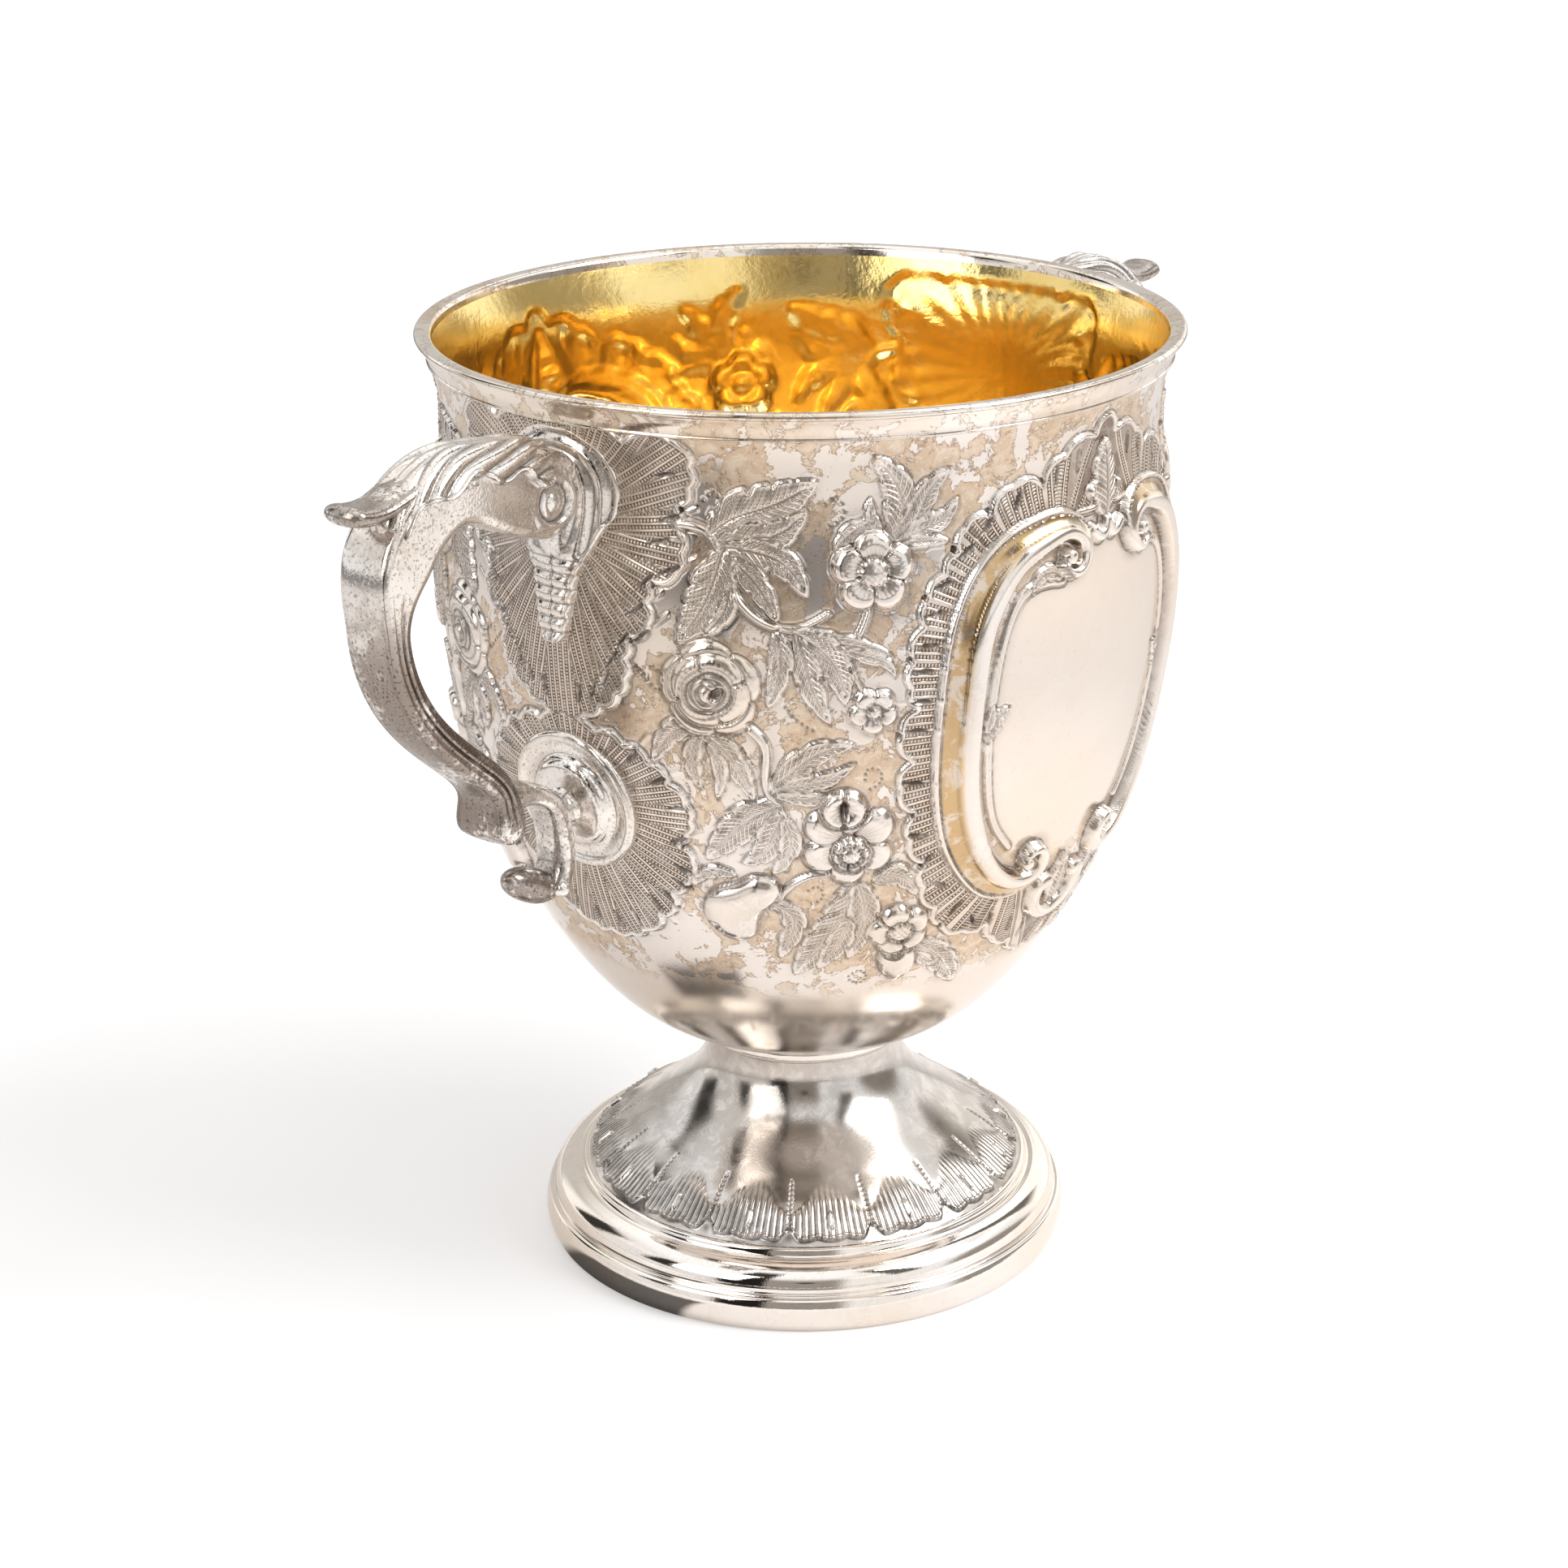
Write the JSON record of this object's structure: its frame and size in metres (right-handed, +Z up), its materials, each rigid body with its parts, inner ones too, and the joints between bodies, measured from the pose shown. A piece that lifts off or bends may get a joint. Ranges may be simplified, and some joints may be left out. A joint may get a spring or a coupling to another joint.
{
  "type": "two-handled cup",
  "caption": "Silver caudle cup on a domed foot, with cast scroll handles, chased flowers, blank scroll reserves and a gilt inside.",
  "frame": {"origin": "on the floor under the middle of the foot ring", "axes": "+Z up, the two handles lie along X, the two reserves face -Y and +Y"},
  "size_m": [0.196, 0.1162, 0.15],
  "materials": {
    "silver": "polished, lightly toned",
    "silver_gilt_inside": "polished and chased outside, gilt inside",
    "cast_silver": "worn, dark in the hollows"
  },
  "bodies": {
    "root": {"bowl": "silver_gilt_inside", "lip_wire": "silver", "foot_collar": "silver", "foot_dome": "silver", "foot_ring": "silver", "handle_right_strap": "cast_silver", "handle_right_scroll_eye": "cast_silver", "handle_right_acanthus_leaf": "cast_silver", "handle_right_thumb_tongue": "cast_silver", "handle_right_shell_plate": "cast_silver", "handle_right_boss": "cast_silver", "handle_right_boss_stub": "cast_silver", "handle_right_lower_curl": "cast_silver", "handle_right_curl_bead": "cast_silver", "handle_right_bud": "cast_silver", "handle_left_strap": "cast_silver", "handle_left_scroll_eye": "cast_silver", "handle_left_acanthus_leaf": "cast_silver", "handle_left_thumb_tongue": "cast_silver", "handle_left_shell_plate": "cast_silver", "handle_left_boss": "cast_silver", "handle_left_boss_stub": "cast_silver", "handle_left_lower_curl": "cast_silver", "handle_left_curl_bead": "cast_silver", "handle_left_bud": "cast_silver"}
  },
  "joints": []
}
